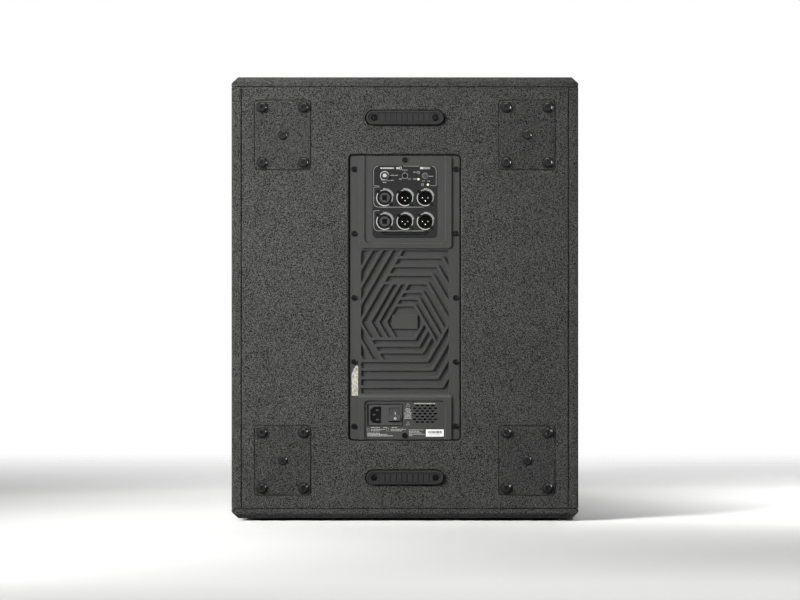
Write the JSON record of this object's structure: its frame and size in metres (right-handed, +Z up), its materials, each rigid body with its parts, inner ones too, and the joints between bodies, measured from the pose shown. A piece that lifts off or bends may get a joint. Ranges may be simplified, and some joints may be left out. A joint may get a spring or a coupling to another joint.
{
  "type": "powered subwoofer",
  "caption": "Boxed powered subwoofer: textured cabinet, front grille over a woofer, rear amplifier panel with heatsink, connectors and mains inlet, caster pads, handles, pole socket.",
  "frame": {"origin": "centre of the bounding box at the floor, under the feet", "axes": "+Z up, front grille towards -Y, amplifier panel towards +Y, +X to the right seen from the front"},
  "size_m": [0.502, 0.605, 0.643],
  "materials": {
    "cabinet_paint": "textured charcoal polyurethane paint over plywood",
    "baffle_paint": "matt black paint over plywood",
    "bare_plywood": "unfinished birch plywood",
    "grille_steel": "powder-coated perforated steel",
    "black_steel": "black oxide, satin",
    "damping_foam": "open-cell acoustic foam",
    "black_plastic": "fine-grained black",
    "basket_aluminium": "black-coated casting",
    "rubber": "moulded black rubber",
    "surround_cloth": "doped cloth",
    "cone_paper": "pressed paper pulp, matt",
    "copper_coil": "enamelled wire",
    "plated_steel": "zinc plated",
    "ferrite": "sintered ferrite",
    "socket_metal": "black powder coat",
    "caster_plate_paint": "textured charcoal paint",
    "amp_casting": "textured charcoal powder coat",
    "input_plate_paint": "fine matt dark grey",
    "knob_grey": "grey cap on a black skirt",
    "led_lit": "lit diffused lens",
    "led_dark": "unlit smoked lens",
    "connector_plastic": "moulded black",
    "bright_contacts": "plated contacts",
    "gloss_black": "polished black",
    "circuit_board": "solder mask",
    "cover_aluminium": "mill finish sheet"
  },
  "bodies": {
    "cabinet": {"top_panel": "cabinet_paint", "bottom_panel": "cabinet_paint", "left_side_panel": "cabinet_paint", "right_side_panel": "cabinet_paint", "rear_panel": "cabinet_paint", "front_baffle": "baffle_paint", "grille_battens": "bare_plywood", "window_brace": "bare_plywood", "grille": "grille_steel", "grille_screws": "black_steel", "damping_foam": "damping_foam", "left_port": "black_plastic", "right_port": "black_plastic", "woofer_basket": "basket_aluminium", "woofer_gasket": "rubber", "woofer_surround": "surround_cloth", "woofer_cone": "cone_paper", "dust_cap": "cone_paper", "woofer_spider": "surround_cloth", "voice_coil": "copper_coil", "woofer_top_plate": "plated_steel", "woofer_magnet": "ferrite", "woofer_yoke": "plated_steel", "woofer_bolts": "black_steel", "left_handle": "black_plastic", "right_handle": "black_plastic", "cabinet_screws": "black_steel", "pole_socket": "socket_metal", "feet": "rubber", "caster_plate_upper_left": "caster_plate_paint", "caster_plate_upper_right": "caster_plate_paint", "caster_plate_lower_left": "caster_plate_paint", "caster_plate_lower_right": "caster_plate_paint", "caster_bolts": "black_steel", "caster_nuts": "plated_steel", "caster_centre_screws": "black_steel", "upper_bumper": "rubber", "lower_bumper": "rubber", "bumper_screws": "black_steel", "amp_panel": "amp_casting", "amp_gasket": "rubber", "amp_screws": "black_steel", "input_plate": "input_plate_paint", "lit_leds": "led_lit", "unlit_leds": "led_dark", "combo_inputs": "connector_plastic", "xlr_outputs": "connector_plastic", "xlr_pins": "bright_contacts", "connector_screws": "black_steel", "mains_module": "connector_plastic", "inlet_pins": "bright_contacts", "input_board": "circuit_board", "power_board": "circuit_board", "fan_frame": "black_plastic", "amp_cover": "cover_aluminium"},
    "volume_knob_body": {"volume_knob": "knob_grey"},
    "mode_selector_body": {"mode_selector": "black_plastic"},
    "phase_button_body": {"phase_button": "black_plastic"},
    "power_rocker_body": {"power_rocker": "gloss_black"},
    "fan_rotor_body": {"fan_rotor": "black_plastic"}
  },
  "joints": [
    {"name": "volume_turn", "type": "hinge", "parent": "cabinet", "child": "volume_knob_body", "pos_m": [0.0294, 0.2955, 0.5001], "axis": [0, -1, 0], "range_deg": [-285, 15]},
    {"name": "selector_turn", "type": "hinge", "parent": "cabinet", "child": "mode_selector_body", "pos_m": [0, 0.2955, 0.5001], "axis": [0, -1, 0], "range_deg": [-120, 120]},
    {"name": "button_press", "type": "slide", "parent": "cabinet", "child": "phase_button_body", "axis": [0, -1, 0], "range_m": [0, 0.0015], "stiffness_N_per_m": 400, "springref_m": -0.001},
    {"name": "rocker_tip", "type": "hinge", "parent": "cabinet", "child": "power_rocker_body", "pos_m": [0.015, 0.291, 0.1536], "axis": [-1, 0, 0], "range_deg": [0, 22]},
    {"name": "fan_spin", "type": "hinge", "parent": "cabinet", "child": "fan_rotor_body", "pos_m": [-0.0292, 0.284, 0.1553], "axis": [0, -1, 0], "continuous": true}
  ]
}
